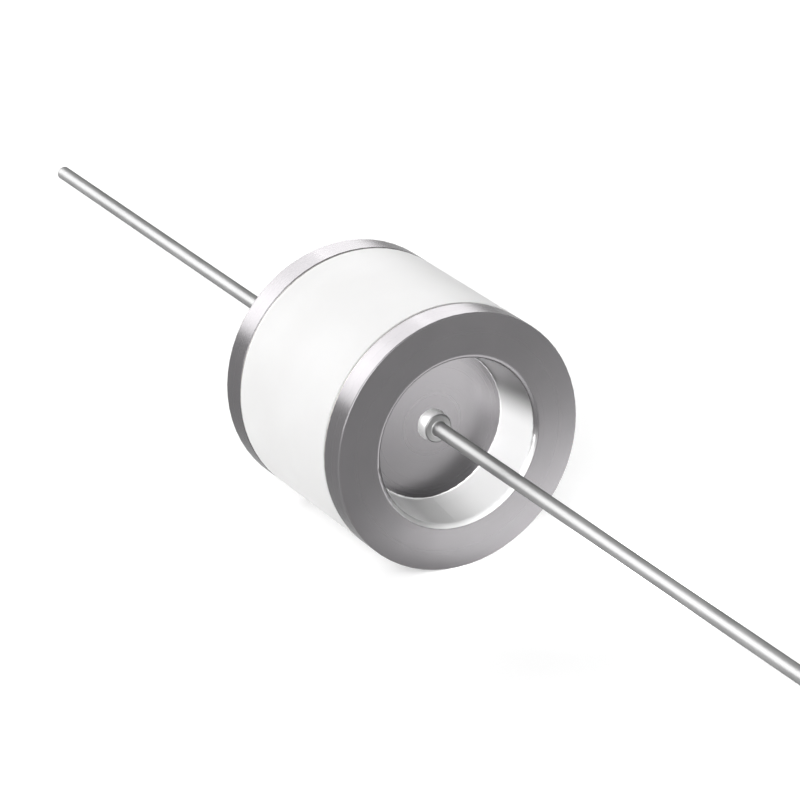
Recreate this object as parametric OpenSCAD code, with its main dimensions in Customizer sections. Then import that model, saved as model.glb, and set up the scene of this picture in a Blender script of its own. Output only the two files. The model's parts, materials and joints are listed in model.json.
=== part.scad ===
// Gas discharge tube: a two-electrode surge arrester with axial leads.
// A ceramic tube is closed at each end by a metal electrode that is brazed to its end face.
// Inside, the noses of the two electrodes face each other across a small gas gap.
// The tube's axis is X, the origin is the middle of the body, +X is the front end and +Z is up.

/* [Body] */
// Outside diameter of the ceramic tube and of the electrode flanges
body_d = 8; // [7.6:0.1:12]
// Length of the body over the two electrode flanges
body_l = 7.1; // [6.6:0.1:12]
// Bore of the ceramic tube
bore_d = 6.4; // [5.6:0.1:6.8]
// Rounding of the ceramic tube's outer end edges
ceramic_edge_r = 0.04; // [0.02:0.01:0.3]
// Chamfer at the two ends of the ceramic tube's bore
bore_chamfer = 0.1; // [0.02:0.01:0.2]

/* [Braze joints] */
// Thickness of the braze between a flange and the end of the ceramic tube
braze_t = 0.06; // [0.04:0.01:0.3]
// How far the braze stays below the outside of the body
braze_inset = 0.05; // [0.02:0.01:0.2]

/* [Electrodes] */
// Thickness of an electrode's flange
flange_t = 0.85; // [0.5:0.05:1.2]
// Rounding of the flange's edge at its outer face
flange_face_r = 0.04; // [0.02:0.01:0.2]
// Rounding of the flange's edge at the braze joint
flange_joint_r = 0.03; // [0.02:0.01:0.15]
// Distance between the faces of the two electrodes inside the tube
electrode_gap = 0.9; // [0.4:0.05:1.4]
// Distance between an electrode's nose and the bore of the tube
nose_clearance = 0.4; // [0.3:0.05:0.6]
// Rounding of the nose's edge at the gas gap
nose_edge_r = 0.4; // [0.1:0.05:0.6]
// Fillet between the nose and the shoulder that centres the electrode
nose_root_r = 0.15; // [0.05:0.01:0.2]
// How far the centring shoulder reaches into the bore
shoulder_h = 0.3; // [0.1:0.05:0.6]
// Clearance between the centring shoulder and the bore
shoulder_clearance = 0.05; // [0.02:0.01:0.1]
// Rounding of the centring shoulder's edge
shoulder_edge_r = 0.06; // [0.02:0.01:0.08]

/* [Recess in the outer face] */
// Depth of the recess from the flange's outer face
recess_depth = 1.62; // [0.8:0.02:2.2]
// Wall between the recess floor's edge and the outside of the nose
cup_wall = 0.44; // [0.36:0.02:0.9]
// Taper of the recess wall from the axis, in degrees
recess_taper = 8; // [2:0.5:10]
// Rounding of the recess mouth
mouth_r = 0.17; // [0.05:0.01:0.3]
// Fillet between the recess floor and its wall
floor_fillet_r = 0.05; // [0.04:0.01:0.3]

/* [Emission coating] */
// Thickness of the coating over the nose's face
coating_t = 0.05; // [0.02:0.01:0.12]
// Bare rim between the coating and the rounded edge of the nose
coating_margin = 0.3; // [0.1:0.05:0.6]
// Side of one square pit of the waffle pattern
pit_side = 0.55; // [0.3:0.05:0.9]
// Rib between two pits
pit_rib = 0.2; // [0.1:0.05:0.4]
// Depth of a pit
pit_depth = 0.12; // [0.05:0.01:0.3]

/* [Ignition stripes] */
// Number of graphite stripes on the bore
stripe_count = 6; // [3:1:12]
// Width of a stripe around the bore
stripe_w = 0.5; // [0.2:0.05:0.8]
// Thickness of a stripe
stripe_t = 0.04; // [0.02:0.01:0.1]
// Length of a stripe along the bore
stripe_l = 3.4; // [1.5:0.1:4]

/* [Leads] */
// Diameter of the lead wire
lead_d = 0.45; // [0.3:0.05:1]
// Length of a lead beyond the flange's outer face
lead_l = 20.5; // [5:0.5:40]
// Diameter of the head at the root of a lead
head_d = 0.9; // [0.7:0.05:2]
// Height of the head above the recess floor
head_h = 0.42; // [0.2:0.02:1]
// Rounding of the head's outer edge
head_edge_r = 0.07; // [0.02:0.01:0.1]
// Rounding of the lead's cut end
tip_edge_r = 0.05; // [0.02:0.01:0.1]

/* [Hidden] */
$fn = 96;

// Overshoot of a cut past the face it opens
cut_over = 1;
// Overlap of a rounding with the tapered wall that it meets, so that the two always cross
blend_over = 0.0001;

// Radii from the axis
body_r = body_d / 2;
bore_r = bore_d / 2;
nose_r = bore_r - nose_clearance;
shoulder_r = bore_r - shoulder_clearance;
floor_r = nose_r - cup_wall;
coating_r = nose_r - nose_edge_r - coating_margin;

// Heights from the middle of the body
face_z = body_l / 2;
flange_z = face_z - flange_t;
ceramic_z = flange_z - braze_t;
shoulder_z = ceramic_z - shoulder_h;
nose_z = electrode_gap / 2;
floor_z = face_z - recess_depth;
tip_z = face_z + lead_l;

// Centres of the rounded mouth and of the floor's fillet, with the points where they meet the tapered wall
function wall_r(z) = floor_r + (z - floor_z) * tan(recess_taper);
function across_wall(r) = r * [cos(recess_taper), -sin(recess_taper)];
mouth_centre = [wall_r(face_z - mouth_r) + mouth_r / cos(recess_taper), face_z - mouth_r];
mouth_meets_wall = mouth_centre - across_wall(mouth_r);
fillet_centre = [wall_r(floor_z + floor_fillet_r) - floor_fillet_r / cos(recess_taper), floor_z + floor_fillet_r];
fillet_meets_wall = fillet_centre + across_wall(floor_fillet_r);

// Grid positions of the waffle pits whose four corners lie on the coated disc
pit_pitch = pit_side + pit_rib;
pit_reach = floor(coating_r / pit_pitch);
pit_places = [
    for (i = [-pit_reach:pit_reach], j = [-pit_reach:pit_reach])
        if (norm([abs(i) * pit_pitch + pit_side / 2, abs(j) * pit_pitch + pit_side / 2]) < coating_r)
            [i * pit_pitch, j * pit_pitch]
];

// Angle that one ignition stripe covers on the bore
stripe_angle = 2 * asin(stripe_w / bore_d);

// Puts a shape that is drawn along Z on the body's axis, at the front end
module at_front() {
    rotate([0, 90, 0]) children();
}

// The same at the rear end
module at_rear() {
    mirror([1, 0, 0]) at_front() children();
}

// Half section of a round bar from z0 to z1, with its outer edges rounded by e0 and e1
module bar_section(r, z0, z1, e0, e1) {
    polygon([[0, z0], [r - e0, z0], [r, z0 + e0], [r, z1 - e1], [r - e1, z1], [0, z1]]);
    if (e0 > 0) translate([r - e0, z0 + e0]) circle(e0);
    if (e1 > 0) translate([r - e1, z1 - e1]) circle(e1);
}

// Half section of the recess: a tapered cup with a filleted floor and a rounded mouth
module recess_section() {
    top_z = face_z + cut_over;
    difference() {
        union() {
            polygon([
                [0, floor_z], [fillet_centre.x, floor_z], fillet_meets_wall, mouth_meets_wall,
                [mouth_centre.x, face_z], [mouth_centre.x, top_z], [0, top_z]
            ]);
            translate(fillet_centre) circle(floor_fillet_r + blend_over);
        }
        translate(mouth_centre) circle(mouth_r + blend_over);
    }
}

// Half section of the fillet between the nose and the centring shoulder
module nose_root_section() {
    difference() {
        translate([nose_r - nose_root_r, shoulder_z - nose_root_r]) square([2 * nose_root_r, 2 * nose_root_r]);
        translate([nose_r + nose_root_r, shoulder_z - nose_root_r]) circle(nose_root_r);
    }
}

// The square pits of the waffle pattern, from the nose's face inwards
module waffle_pits() {
    for (place = pit_places)
        translate([place.x - pit_side / 2, place.y - pit_side / 2, nose_z]) cube([pit_side, pit_side, pit_depth]);
}

// One electrode: flange, centring shoulder and nose turned as one piece, with a recess for the lead
module electrode() {
    difference() {
        rotate_extrude() difference() {
            union() {
                bar_section(body_r, flange_z, face_z, flange_joint_r, flange_face_r);
                bar_section(shoulder_r, shoulder_z, face_z - flange_face_r, shoulder_edge_r, 0);
                bar_section(nose_r, nose_z, face_z - flange_face_r, nose_edge_r, 0);
                nose_root_section();
            }
            recess_section();
        }
        waffle_pits();
    }
}

// One ring of braze between a flange and the ceramic tube's end
module braze_ring() {
    translate([0, 0, ceramic_z]) difference() {
        cylinder(h = braze_t, r = body_r - braze_inset);
        translate([0, 0, -cut_over]) cylinder(h = braze_t + 2 * cut_over, r = bore_r);
    }
}

// Emission coating: a thin disc on the nose's face that also fills the waffle pits
module emission_coating() {
    translate([0, 0, nose_z - coating_t]) cylinder(h = coating_t, r = coating_r);
    waffle_pits();
}

// One lead: a straight wire with an upset head that is welded to the recess floor
module lead() {
    rotate_extrude() {
        bar_section(head_d / 2, floor_z, floor_z + head_h, 0, head_edge_r);
        bar_section(lead_d / 2, floor_z, tip_z, 0, tip_edge_r);
    }
}

module ceramic_tube() {
    color("white") at_front() rotate_extrude() difference() {
        bar_section(body_r, -ceramic_z, ceramic_z, ceramic_edge_r, ceramic_edge_r);
        polygon([
            [0, -ceramic_z - cut_over], [bore_r + bore_chamfer, -ceramic_z - cut_over],
            [bore_r + bore_chamfer, -ceramic_z], [bore_r, bore_chamfer - ceramic_z],
            [bore_r, ceramic_z - bore_chamfer], [bore_r + bore_chamfer, ceramic_z],
            [bore_r + bore_chamfer, ceramic_z + cut_over], [0, ceramic_z + cut_over]
        ]);
    }
}

module front_electrode() {
    color("darkgray") at_front() electrode();
}

module rear_electrode() {
    color("darkgray") at_rear() electrode();
}

module front_braze_ring() {
    color("gray") at_front() braze_ring();
}

module rear_braze_ring() {
    color("gray") at_rear() braze_ring();
}

module front_emission_coating() {
    color("rosybrown") at_front() emission_coating();
}

module rear_emission_coating() {
    color("rosybrown") at_rear() emission_coating();
}

module ignition_stripes() {
    color("dimgray") at_front() for (i = [0:stripe_count - 1])
        rotate(i * 360 / stripe_count - stripe_angle / 2) rotate_extrude(angle = stripe_angle)
            translate([bore_r - stripe_t, -stripe_l / 2]) square([stripe_t, stripe_l]);
}

module front_lead() {
    color("silver") at_front() lead();
}

module rear_lead() {
    color("silver") at_rear() lead();
}

ceramic_tube();
front_electrode();
rear_electrode();
front_braze_ring();
rear_braze_ring();
front_emission_coating();
rear_emission_coating();
ignition_stripes();
front_lead();
rear_lead();
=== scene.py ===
import json
import math

import bmesh
import bpy
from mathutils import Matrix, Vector


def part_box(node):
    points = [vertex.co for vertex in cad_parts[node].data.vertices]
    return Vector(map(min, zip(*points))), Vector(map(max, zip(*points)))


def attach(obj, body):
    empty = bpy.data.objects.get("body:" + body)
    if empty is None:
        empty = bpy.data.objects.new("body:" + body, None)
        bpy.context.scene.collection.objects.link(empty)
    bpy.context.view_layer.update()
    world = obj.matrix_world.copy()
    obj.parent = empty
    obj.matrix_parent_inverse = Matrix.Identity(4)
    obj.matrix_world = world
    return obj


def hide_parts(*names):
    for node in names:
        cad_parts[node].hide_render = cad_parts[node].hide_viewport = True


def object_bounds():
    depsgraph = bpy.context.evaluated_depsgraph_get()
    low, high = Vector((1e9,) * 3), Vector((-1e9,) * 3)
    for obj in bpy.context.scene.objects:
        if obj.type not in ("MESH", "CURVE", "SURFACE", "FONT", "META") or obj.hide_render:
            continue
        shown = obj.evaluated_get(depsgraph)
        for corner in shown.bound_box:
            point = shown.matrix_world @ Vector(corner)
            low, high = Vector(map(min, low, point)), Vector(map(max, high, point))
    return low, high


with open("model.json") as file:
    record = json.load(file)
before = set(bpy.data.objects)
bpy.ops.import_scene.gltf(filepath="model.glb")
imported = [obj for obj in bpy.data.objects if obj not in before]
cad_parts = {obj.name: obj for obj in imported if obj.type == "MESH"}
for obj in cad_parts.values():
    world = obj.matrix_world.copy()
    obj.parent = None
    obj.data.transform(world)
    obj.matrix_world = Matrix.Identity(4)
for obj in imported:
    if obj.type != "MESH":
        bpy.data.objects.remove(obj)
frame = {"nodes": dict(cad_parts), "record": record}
cad_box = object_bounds()

# Everything is in metres in the part's own frame: X is the tube's axis, +X the near end, +Z up.
MM = 0.001
BODY = "root"
ENDS = {"front": 1, "rear": -1}
SEAM_PHASE = {"front": 0.4, "rear": 2.1}
WIRE_PHASE = {"front": 1.3, "rear": 3.0}

# The photograph's view
IMAGE_PX = 800
SENSOR_MM = 36
FOCAL_PX = 4068.4
CAMERA_AZIMUTH = math.radians(60.97)
CAMERA_ELEVATION = math.radians(22.24)
CAMERA_DISTANCE = 121.46 * MM
CAMERA_AIM = Vector((0, 0, 0.07 * MM))
CLIP_START = 1 * MM
CLIP_END = 20

# Floor and world
WHITE = (1, 1, 1, 1)
FLOOR_HALF = 1.2
FLOOR_COLOUR = (0.65, 0.65, 0.65, 1)
FLOOR_GLOW = 0.42
WORLD_HORIZON = (0.12, 0.12, 0.12, 1)
WORLD_ZENITH = (0.15, 0.15, 0.15, 1)

# Soft boxes round the part. Each is given by the way to it, its width and height, and its radiance.
LAMP_DISTANCE = 1.3
LAMPS = {
    "arch_left": ((-0.81, -0.41, 0.39), 0.50, 0.73, 6.7),
    "arch_top": ((-0.81, 0.00, 0.60), 0.62, 0.40, 5.6),
    "arch_right": ((-0.81, 0.41, 0.41), 0.50, 0.66, 5.6),
    "key": ((0.66, -0.52, 0.54), 0.95, 1.05, 2.1),
    "left": ((-0.35, -0.93, 0.06), 0.60, 0.60, 4.4),
    "fill": ((0.68, -0.62, 0.38), 0.95, 1.05, 5.0),
    "line": ((-0.81, -0.48, 0.33), 1.10, 1.10, 5.4),
}
# The fill is kept off the tube, which gets more of the other light than the recess does.
KEPT_OFF_TUBE = ("fill",)
# The wires have one box of their own, which the body doesn't shade, in place of four of the others.
# So a wire shows one bright line with dark edges along its whole length.
KEPT_OFF_WIRES = ("arch_left", "arch_top", "arch_right", "left")
ONLY_ON_WIRES = "line"
# A strip lamp close above the floor brightens the patch that the near face mirrors.
STRIP_PLACE = Vector((7.4, 6.5, -2.9)) * MM
STRIP_TURN = math.radians(65)
STRIP_SIZE = (14.5 * MM, 5 * MM)
STRIP_RADIANCE = 4.5

# Turned pieces
SEAM_SEGMENTS = 288
WIRE_SEGMENTS = 64
ARC_POINTS = 6
SEAM_POINTS = 8
SEAM_HOLLOW = 0.030 * MM
SEAM_WAVE = 0.007 * MM
FLASH_WIDTH = 0.05 * MM
FLASH_HEIGHT = 0.06 * MM
FLASH_UNEVENNESS = 0.3
HEAD_ROUNDING = 0.07 * MM
WIRE_FILLET = 0.05 * MM
WIRE_STEP = 1 * MM
TIP_ROLL = 0.05 * MM
TIP_ROLL_LEAST = 0.3
TIP_BURR = 0.03 * MM
TIP_BURR_UNEVENNESS = 0.4
TIP_BURR_SHARPNESS = 3
# The swells of an uneven edge: the share of each, its count round the axis and its multiple of the phase
WAVES = ((0.5, 3, 1), (0.3, 7, 2.3), (0.2, 17, 4.1))
# The weld flash from its foot up: how far it has risen and how far it still spreads, as shares
FLASH_PROFILE = ((0, 1), (0.25, 0.6), (0.55, 0.25), (1, 0))
# The sheared edge from the wire inward: how far it is set back and how far it is inset, as shares
TIP_PROFILE = ((1, 0), (0.4, 0.3), (0, 1))


def from_axis(point):
    return math.hypot(point.y, point.z)


def node_points(node):
    return [vertex.co for vertex in frame["nodes"][node].data.vertices]


# Sizes that the pieces and finishes follow, read from the frame
FACE_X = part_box("front_electrode")[1].x
FACE_TOLERANCE = 0.001 * MM
FACE_POINTS = [point for point in node_points("front_electrode") if point.x > FACE_X - FACE_TOLERANCE]
FLANGE_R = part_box("front_electrode")[1].z
MOUTH_R = min(from_axis(point) for point in FACE_POINTS)
RECESS_FLOOR_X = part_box("front_lead")[0].x
TIP_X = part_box("front_lead")[1].x
WIRE_R = frame["record"]["mounts"][0]["dims"]["r_mm"] * MM
HEAD_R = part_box("front_lead")[1].z
HEAD_FROM_R = 1.2 * WIRE_R
HEAD_TOP_X = max(point.x for point in node_points("front_lead") if from_axis(point) > HEAD_FROM_R)
SEAM_X0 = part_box("front_braze_ring")[0].x
SEAM_X1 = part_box("front_braze_ring")[1].x
SEAM_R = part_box("front_braze_ring")[1].z
SEAM_BORE_R = min(from_axis(point) for point in node_points("front_braze_ring"))

# Zones of the finishes, each from where it starts to where it is full.
# First those along the axis and away from it
NEAR_FACE = (FACE_X - 0.05 * MM, FACE_X - 0.02 * MM)
NEAR_OUTSIDE = (FLANGE_R - 0.05 * MM, FLANGE_R - 0.02 * MM)
OFF_FLOOR = (RECESS_FLOOR_X + 0.002 * MM, RECESS_FLOOR_X + 0.008 * MM)
WITHIN_FACE = (MOUTH_R - 0.01 * MM, MOUTH_R - 0.05 * MM)
WITHIN_ROUNDING = (MOUTH_R - 0.14 * MM, MOUTH_R - 0.17 * MM)
ON_ROUNDING = (MOUTH_R - 0.17 * MM, MOUTH_R - 0.14 * MM)
ON_HEAD = (1.05 * WIRE_R, HEAD_FROM_R)
ON_CROWN = (HEAD_TOP_X - 0.05 * MM, HEAD_TOP_X - 0.02 * MM)
# Then those up or down the recess
ROUNDING_LOW = (0.1 * MM, -1.5 * MM)
FLOOR_HIGH = (-1.6 * MM, 2.4 * MM)
FLOOR_EDGE_HIGH = (-0.6 * MM, 1.0 * MM)
WALL_LOW = (1.1 * MM, -0.2 * MM)
# And those across it, where +Y is the right of the photograph
ROUNDING_OFF_LEFT = (-2.5 * MM, -2.0 * MM)
ROUNDING_LEFT = (-0.2 * MM, -1.3 * MM)
FLOOR_RIGHT = (1.2 * MM, 2.2 * MM)
WALL_LEFT = (-0.7 * MM, -1.4 * MM)
WALL_RIGHT = (-0.2 * MM, 1.3 * MM)

# Nearly all values of a noise lie between these.
NOISE_LOW = 0.3
NOISE_HIGH = 0.7
# The sockets of a Mix node that take its two values and give its result
MIX_SOCKETS = {"FLOAT": (2, 3, 0), "RGBA": (6, 7, 2)}
# The faintly mauve tint of the plated metal
STEEL_TINT = (1.012, 0.98, 1.012)


class Nodes:
    """A node tree that is built up call by call."""

    def __init__(self, tree):
        self.tree = tree

    def node(self, kind, inputs=None, **settings):
        made = self.tree.nodes.new(kind)
        for key, value in settings.items():
            setattr(made, key, value)
        for key, value in (inputs or {}).items():
            self.put(made.inputs[key], value)
        return made

    def put(self, socket, value):
        if isinstance(value, bpy.types.NodeSocket):
            self.tree.links.new(value, socket)
        else:
            socket.default_value = value

    def math(self, operation, a, b=0.0):
        return self.node("ShaderNodeMath", {0: a, 1: b}, operation=operation).outputs[0]

    def mix(self, kind, share, a, b):
        first, second, result = MIX_SOCKETS[kind]
        return self.node("ShaderNodeMix", {0: share, first: a, second: b}, data_type=kind).outputs[result]

    def mix_number(self, share, a, b):
        return self.mix("FLOAT", share, a, b)

    def mix_colour(self, share, a, b):
        return self.mix("RGBA", share, a, b)

    def split(self, place):
        """The X, Y and Z of a place."""
        return self.node("ShaderNodeSeparateXYZ", {"Vector": place}).outputs

    def seen(self):
        """1 for rays from the camera, mirrors and glass, 0 for rays that only light other things."""
        ray = self.node("ShaderNodeLightPath").outputs
        mirrored = self.math("ADD", ray["Is Glossy Ray"], ray["Is Transmission Ray"])
        return self.math("MINIMUM", self.math("ADD", ray["Is Camera Ray"], mirrored), 1.0)


class Shader(Nodes):
    """A node material that is built up from its Principled shader."""

    def __init__(self, name):
        self.material = bpy.data.materials.new(name)
        self.material.use_nodes = True
        super().__init__(self.material.node_tree)
        self.surface = self.tree.nodes["Principled BSDF"]

    def set(self, **values):
        for key, value in values.items():
            self.put(self.surface.inputs[key.replace("_", " ")], value)

    def place(self):
        """Points of the surface in the part's frame."""
        return self.node("ShaderNodeTexCoord").outputs["Object"]

    def lathe_place(self, place):
        """The same points as distance along the axis from the middle, distance from the axis, 0."""
        parts = self.split(place)
        across = self.node("ShaderNodeCombineXYZ", {"Y": parts["Y"], "Z": parts["Z"]}).outputs[0]
        radius = self.node("ShaderNodeVectorMath", {0: across}, operation="LENGTH").outputs["Value"]
        along = self.math("ABSOLUTE", parts["X"])
        both = self.node("ShaderNodeCombineXYZ", {"X": along, "Y": radius}).outputs[0]
        return both, along, radius

    def stretched(self, place, share):
        """The same points with their X cut to a share, which draws noise out along the axis."""
        return self.node("ShaderNodeMapping", {"Vector": place, "Scale": (share, 1, 1)}).outputs[0]

    def noise(self, place, size, detail=2.0, roughness=0.5):
        """Noise from 0 to 1 whose patches are about the given size."""
        inputs = {"Vector": place, "Scale": 1 / size, "Detail": detail, "Roughness": roughness}
        return self.node("ShaderNodeTexNoise", inputs).outputs["Fac"]

    def ramp(self, value, start, end, low=0.0, high=1.0):
        """Goes smoothly from low to high while the value goes from start to end."""
        inputs = {"Value": value, "From Min": start, "From Max": end, "To Min": low, "To Max": high}
        return self.node("ShaderNodeMapRange", inputs, interpolation_type="SMOOTHSTEP").outputs[0]

    def spread(self, noise, low=0.0, high=1.0):
        """Noise stretched to go from low to high."""
        return self.ramp(noise, NOISE_LOW, NOISE_HIGH, low, high)

    def overlap(self, a, b):
        """The zone that two zones share."""
        return self.math("MULTIPLY", a, b)

    def bump(self, height, depth):
        """Relief of the given depth."""
        inputs = {"Height": height, "Distance": depth, "Strength": 1.0}
        self.set(Normal=self.node("ShaderNodeBump", inputs).outputs[0])


def grey(level, warmth=0.0):
    return (level * (1 + warmth), level, level * (1 - warmth), 1)


def steel(level):
    return tuple(level * tint for tint in STEEL_TINT) + (1,)


# Tones of the electrodes, the darker one first where there are two
PLATING = (steel(0.148), steel(0.158))
# A painted highlight on the flange's outer rim
RIM_HIGHLIGHT = steel(0.18)
# Painted light and shade on the recess floor, lighter at its top and at its right edge
RECESS_FLOOR = (steel(0.11), steel(0.38))
RECESS_FLOOR_EDGE = (steel(0.26), steel(0.54))
# Painted shade on the recess wall: its greyer middle, its dark top and the darker left of the mouth's
# rounding
RECESS_WALL = (grey(0.60), grey(0.92))
WALL_TOP_SHADE = grey(0.13)
ROUNDING_SHADE = grey(0.30)


def alumina():
    """Fired ceramic: a white satin body with a fine grain and faint clouding."""
    shader = Shader("alumina")
    place = shader.place()
    clouds = shader.noise(place, size=2.5 * MM, detail=3)
    grain = shader.noise(place, size=0.06 * MM, detail=3)
    white = shader.mix_colour(shader.spread(clouds), grey(0.88, warmth=0.004), grey(0.91, warmth=0.002))
    shader.set(
        Base_Color=white,
        Roughness=shader.ramp(grain, start=0.25, end=0.75, low=0.50, high=0.62),
        Specular_IOR_Level=0.3,
    )
    shader.bump(grain, depth=0.002 * MM)
    return shader.material


def electrode_metal():
    """Plated turned metal with a painted highlight on its outer rims, and in its recess a floor with
    painted light and shade and a bright matt wall with painted shade.
    """
    shader = Shader("electrode_metal")
    place = shader.place()
    lathe, along, radius = shader.lathe_place(place)
    parts = shader.split(place)
    sideways, height = parts["Y"], parts["Z"]
    turning = shader.noise(lathe, size=0.05 * MM, detail=3)
    clouds = shader.noise(place, size=1.6 * MM, detail=4)

    # The finish of the recess takes in the lower part of the mouth's rounding.
    low = shader.overlap(shader.ramp(height, *ROUNDING_LOW), shader.ramp(sideways, *ROUNDING_OFF_LEFT))
    past_rounding = shader.ramp(radius, *WITHIN_ROUNDING)
    inside = shader.mix_number(low, past_rounding, shader.ramp(radius, *WITHIN_FACE))
    wall = shader.overlap(inside, shader.ramp(along, *OFF_FLOOR))
    # Painted shade darkens the mouth's rounding towards the left, where it has the wall's finish.
    dull = shader.overlap(shader.ramp(radius, *ON_ROUNDING), shader.ramp(sideways, *ROUNDING_LEFT))
    # A painted highlight on the outer rounding where face and band meet: lighter and a little less
    # metallic there.
    rim_highlight = shader.overlap(shader.ramp(along, *NEAR_FACE), shader.ramp(radius, *NEAR_OUTSIDE))

    plain = shader.mix_colour(shader.spread(clouds), *PLATING)
    plain = shader.mix_colour(rim_highlight, plain, RIM_HIGHLIGHT)
    # Painted light and shade on the floor of the recess: it is lighter at its top and most of all at its
    # right.
    floor = shader.mix_colour(shader.ramp(height, *FLOOR_HIGH), *RECESS_FLOOR)
    floor_edge = shader.mix_colour(shader.ramp(height, *FLOOR_EDGE_HIGH), *RECESS_FLOOR_EDGE)
    floor = shader.mix_colour(shader.ramp(sideways, *FLOOR_RIGHT), floor, floor_edge)
    # Painted shade on the wall: it is brightest at its left and right, greyer between, and dark at its
    # top.
    # Where the rounding has the wall's finish, painted shade makes it darker towards the left.
    bright = shader.mix_colour(shader.ramp(sideways, *WALL_RIGHT), *RECESS_WALL)
    bright = shader.mix_colour(shader.ramp(sideways, *WALL_LEFT), bright, RECESS_WALL[1])
    bright = shader.mix_colour(shader.ramp(height, *WALL_LOW), WALL_TOP_SHADE, bright)
    bright = shader.mix_colour(dull, bright, ROUNDING_SHADE)
    shader.set(
        Base_Color=shader.mix_colour(wall, shader.mix_colour(inside, plain, floor), bright),
        Metallic=shader.mix_number(wall, shader.mix_number(rim_highlight, 1.0, 0.9), 0.1),
        Roughness=shader.mix_number(wall, shader.spread(turning, low=0.255, high=0.275), 0.30),
        Specular_Tint=grey(0.6),
    )
    shader.bump(turning, depth=0.00003 * MM)
    return shader.material


def braze():
    """Silver-copper braze: a dull seam with a slightly uneven skin."""
    shader = Shader("braze")
    skin = shader.noise(shader.place(), size=0.25 * MM, detail=4)
    dull = shader.mix_colour(shader.spread(skin), grey(0.28, warmth=0.02), grey(0.40, warmth=0.03))
    shader.set(
        Base_Color=dull,
        Metallic=1.0,
        Roughness=shader.spread(skin, low=0.35, high=0.50),
    )
    shader.bump(skin, depth=0.01 * MM)
    return shader.material


def tinned_wire():
    """Drawn wire under a tin coat, with fine lines along it, a painted highlight that makes its head
    paler, and painted shade that darkens the head's crown.
    """
    shader = Shader("tinned_wire")
    place = shader.place()
    along, radius = shader.lathe_place(place)[1:]
    lines = shader.noise(shader.stretched(place, share=0.03), size=0.03 * MM)
    patches = shader.noise(shader.stretched(place, share=0.4), size=0.5 * MM, detail=3)
    # The head's paler, less metallic tone is a painted highlight, and its crown's dark tone is painted
    # shade.
    head = shader.ramp(radius, *ON_HEAD)
    crown = shader.overlap(head, shader.ramp(along, *ON_CROWN))
    drawn = shader.mix_colour(shader.spread(patches), grey(0.28), grey(0.32))
    shader.set(
        Base_Color=shader.mix_colour(crown, shader.mix_colour(head, drawn, grey(0.75)), grey(0.18)),
        Metallic=shader.mix_number(crown, shader.mix_number(head, 0.55, 0.35), 1.0),
        Roughness=shader.spread(patches, low=0.33, high=0.39),
        Specular_Tint=grey(0.2),
        Specular_IOR_Level=0.0,
    )
    shader.bump(lines, depth=0.0008 * MM)
    return shader.material


def emission_coating():
    """Matt mineral coating in the waffle pits, with a coarse crystalline grain."""
    shader = Shader("emission_coating")
    grain = shader.noise(shader.place(), size=0.08 * MM, detail=5, roughness=0.65)
    mineral = shader.mix_colour(shader.spread(grain), grey(0.30, warmth=0.12), grey(0.48, warmth=0.08))
    shader.set(Base_Color=mineral, Roughness=shader.spread(grain, low=0.75, high=0.95))
    shader.bump(grain, depth=0.02 * MM)
    return shader.material


def graphite():
    """Rubbed graphite lines: dark, with a faint sheen where they are dense."""
    shader = Shader("graphite")
    strokes = shader.noise(shader.stretched(shader.place(), share=0.05), size=0.06 * MM, detail=4)
    shader.set(
        Base_Color=shader.mix_colour(shader.spread(strokes), grey(0.035), grey(0.11)),
        Metallic=shader.ramp(strokes, start=0.4, end=0.8, low=0.0, high=0.4),
        Roughness=shader.spread(strokes, low=0.65, high=0.45),
    )
    shader.bump(strokes, depth=0.003 * MM)
    return shader.material


MATERIALS = {
    "alumina": alumina(),
    "electrode_metal": electrode_metal(),
    "braze": braze(),
    "tinned_wire": tinned_wire(),
    "emission_coating": emission_coating(),
    "graphite": graphite(),
}


def dress(node, slot):
    """Gives a CAD node that keeps its shape its finish."""
    frame["nodes"][node].material_slots[0].material = MATERIALS[slot]


def turned(name, rings, segments, side, loop=False):
    """A closed mesh turned about X, on the given side of the body.

    Each ring gives a distance along the axis and a radius for an angle.
    A loop joins its last ring to its first, and any other mesh is capped at both ends.
    """
    shape = bmesh.new()
    circles = []
    for ring in rings:
        circle = []
        for step in range(segments):
            angle = math.tau * step / segments
            along, radius = ring(angle)
            sideways, height = radius * math.cos(angle), radius * math.sin(angle)
            circle.append(shape.verts.new((side * along, sideways, height)))
        circles.append(circle)
    pairs = list(zip(circles, circles[1:]))
    if loop:
        pairs.append((circles[-1], circles[0]))
    else:
        shape.faces.new(circles[0])
        shape.faces.new(circles[-1])
    for low, high in pairs:
        for step in range(segments):
            shape.faces.new((low[step], low[step - 1], high[step - 1], high[step]))
    bmesh.ops.recalc_face_normals(shape, faces=shape.faces)
    for face in shape.faces:
        face.smooth = True
    mesh = bpy.data.meshes.new(name)
    shape.to_mesh(mesh)
    shape.free()
    made = bpy.data.objects.new(name, mesh)
    bpy.context.scene.collection.objects.link(made)
    return made


def wave(angle, phase):
    """An uneven swell round the axis, from -1 to 1, that closes on itself."""
    return sum(share * math.sin(count * angle + shift * phase) for share, count, shift in WAVES)


def fixed(along, radius):
    """A ring that is the same all round."""
    return lambda angle: (along, radius)


def arc(along, radius, size, start, end):
    """Rings along an arc of a profile, between two angles measured from the way out from the axis."""
    turns = [start + (end - start) * step / (ARC_POINTS - 1) for step in range(ARC_POINTS)]
    return [fixed(along + size * math.sin(turn), radius + size * math.cos(turn)) for turn in turns]


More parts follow.
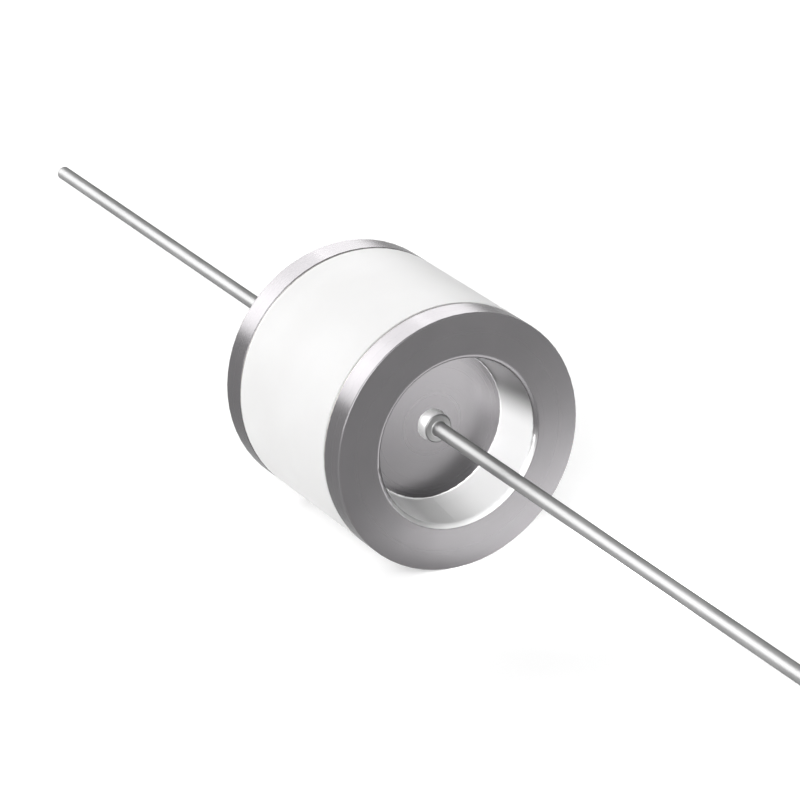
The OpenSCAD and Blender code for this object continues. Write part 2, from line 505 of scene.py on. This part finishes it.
def seam(name, node, side, phase):
    """A ring of braze whose outside is a hollow, slightly uneven skin between flange and ceramic."""
    def skin(share):
        along = SEAM_X0 + (SEAM_X1 - SEAM_X0) * share
        rise = SEAM_HOLLOW * (2 * share - 1) ** 2

        def ring(angle):
            return along, SEAM_R + rise + SEAM_WAVE * wave(angle, phase) * math.sin(math.pi * share)
        return ring

    rings = [skin(step / (SEAM_POINTS - 1)) for step in range(SEAM_POINTS)]
    rings += [fixed(SEAM_X1, SEAM_BORE_R), fixed(SEAM_X0, SEAM_BORE_R)]
    made = turned(name, rings, SEAM_SEGMENTS, side, loop=True)
    made.data.materials.append(MATERIALS["braze"])
    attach(made, BODY)
    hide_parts(node)


def wire(name, node, side, phase):
    """A lead: weld flash round the foot of its head, a rounded head, the wire and its sheared end."""
    def foot(rise, spread):
        def ring(angle):
            swell = 1 - FLASH_UNEVENNESS + FLASH_UNEVENNESS * wave(angle, phase)
            return RECESS_FLOOR_X + FLASH_HEIGHT * rise * swell, HEAD_R + FLASH_WIDTH * spread * swell
        return ring

    # The shears came from above, so the edge is rolled at its top and has its burr at its bottom.
    def cut(setback, inset):
        def ring(angle):
            lean = 0.5 + 0.5 * math.sin(angle)
            swell = 1 + TIP_BURR_UNEVENNESS * wave(angle, phase)
            burr = TIP_BURR * (1 - lean) ** TIP_BURR_SHARPNESS * swell
            roll = TIP_ROLL_LEAST + (1 - TIP_ROLL_LEAST) * lean
            along = TIP_X - TIP_BURR - TIP_ROLL * setback * lean + burr * (1 - setback) * (1 - inset)
            return along, WIRE_R - TIP_ROLL * inset * roll
        return ring

    quarter = math.pi / 2
    straight_x = HEAD_TOP_X + 2 * WIRE_FILLET
    reach = TIP_X - 2 * TIP_ROLL - straight_x
    steps = math.ceil(reach / WIRE_STEP)
    rings = [foot(rise, spread) for rise, spread in FLASH_PROFILE]
    rings += arc(HEAD_TOP_X - HEAD_ROUNDING, HEAD_R - HEAD_ROUNDING, HEAD_ROUNDING, 0, quarter)
    rings += arc(HEAD_TOP_X + WIRE_FILLET, WIRE_R + WIRE_FILLET, WIRE_FILLET, -quarter, -2 * quarter)
    rings += [fixed(straight_x + reach * step / steps, WIRE_R) for step in range(steps + 1)]
    rings += [cut(setback, inset) for setback, inset in TIP_PROFILE]
    rings += [fixed(TIP_X - TIP_BURR, WIRE_R / 2)]
    made = turned(name, rings, WIRE_SEGMENTS, side)
    # Mirrors leave the wire out, because the photograph's metal shows no image of it.
    made.visible_glossy = False
    made.data.materials.append(MATERIALS["tinned_wire"])
    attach(made, BODY)
    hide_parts(node)
    return made


def make_floor(height):
    """A plain pale floor that keeps the part's shadow, and looks white to the camera and in metal."""
    mesh = bpy.data.meshes.new("floor")
    grid = bmesh.new()
    bmesh.ops.create_grid(grid, x_segments=1, y_segments=1, size=FLOOR_HALF)
    grid.to_mesh(mesh)
    grid.free()
    floor = bpy.data.objects.new("floor", mesh)
    floor.location.z = height
    bpy.context.scene.collection.objects.link(floor)
    shader = Shader("floor")
    shader.set(Base_Color=FLOOR_COLOUR, Roughness=1.0, Specular_IOR_Level=0.0)
    glow = shader.math("MULTIPLY", shader.seen(), FLOOR_GLOW)
    shader.set(Emission_Color=WHITE, Emission_Strength=glow)
    floor.data.materials.append(shader.material)


def make_world():
    """A pale room that is a little brighter overhead, and plain white where it is seen."""
    world = bpy.data.worlds.new("studio")
    world.use_nodes = True
    nodes = Nodes(world.node_tree)
    height = nodes.split(nodes.node("ShaderNodeTexCoord").outputs["Generated"])["Z"]
    light = nodes.mix_colour(height, WORLD_HORIZON, WORLD_ZENITH)
    background = world.node_tree.nodes["Background"]
    nodes.put(background.inputs["Color"], nodes.mix_colour(nodes.seen(), light, WHITE))
    bpy.context.scene.world = world


def soft_box(name, width, height, radiance):
    """A rectangular lamp that the camera doesn't see, shining down."""
    lamp = bpy.data.lights.new(name, "AREA")
    lamp.shape = "RECTANGLE"
    lamp.size = width
    lamp.size_y = height
    lamp.energy = radiance * math.pi * width * height
    made = bpy.data.objects.new(name, lamp)
    made.visible_camera = False
    bpy.context.scene.collection.objects.link(made)
    return made


def make_lamp(name, way, width, height, radiance):
    """A soft box away from the part, turned to shine on it."""
    made = soft_box(name, width, height, radiance)
    made.location = Vector(way).normalized() * LAMP_DISTANCE
    made.rotation_mode = "QUATERNION"
    made.rotation_quaternion = Vector(way).to_track_quat("Z", "Y")
    return made


def make_strip():
    """The strip lamp above the floor, which mirrors leave out."""
    made = soft_box("strip", *STRIP_SIZE, STRIP_RADIANCE)
    made.location = STRIP_PLACE
    made.rotation_euler.z = STRIP_TURN
    made.visible_glossy = False


def linked(name, pieces, state):
    """A collection that says of the given pieces whether a lamp reaches them."""
    made = bpy.data.collections.new(name)
    for piece in pieces:
        made.objects.link(piece)
    for entry in made.collection_objects:
        entry.light_linking.link_state = state
    return made


def keep_off(lamp, pieces):
    """Keeps a lamp's light off the given pieces."""
    lamp.light_linking.receiver_collection = linked(lamp.name + "_off", pieces, "EXCLUDE")


def light_only(lamp, pieces, unshaded_by):
    """Lets a lamp light the given pieces alone, past what would shade them."""
    lamp.light_linking.receiver_collection = linked(lamp.name + "_on", pieces, "INCLUDE")
    lamp.light_linking.blocker_collection = linked(lamp.name + "_past", unshaded_by, "EXCLUDE")


def make_camera():
    """The photograph's camera."""
    camera = bpy.data.cameras.new("camera")
    camera.sensor_width = SENSOR_MM
    camera.lens = FOCAL_PX / IMAGE_PX * SENSOR_MM
    camera.clip_start = CLIP_START
    camera.clip_end = CLIP_END
    made = bpy.data.objects.new("camera", camera)
    back = Vector((
        math.sin(CAMERA_AZIMUTH) * math.cos(CAMERA_ELEVATION),
        -math.cos(CAMERA_AZIMUTH) * math.cos(CAMERA_ELEVATION),
        math.sin(CAMERA_ELEVATION),
    ))
    made.location = back * CAMERA_DISTANCE
    made.rotation_mode = "QUATERNION"
    made.rotation_quaternion = (CAMERA_AIM - made.location).to_track_quat("-Z", "Y")
    bpy.context.scene.collection.objects.link(made)
    bpy.context.scene.camera = made


for record_part in frame["record"]["subparts"]:
    dress(record_part["node"], record_part["material_slot"])
wires = []
for end, side in ENDS.items():
    seam(end + "_seam", end + "_braze_ring", side, SEAM_PHASE[end])
    wires.append(wire(end + "_wire", end + "_lead", side, WIRE_PHASE[end]))

make_floor(cad_box[0].z)
make_world()
lamps = {name: make_lamp(name, *settings) for name, settings in LAMPS.items()}
for lamp_name in KEPT_OFF_TUBE:
    keep_off(lamps[lamp_name], [frame["nodes"]["ceramic_tube"]])
for lamp_name in KEPT_OFF_WIRES:
    keep_off(lamps[lamp_name], wires)
light_only(lamps[ONLY_ON_WIRES], wires, list(frame["nodes"].values()))
make_strip()
make_camera()
bpy.context.scene.view_settings.view_transform = "Standard"
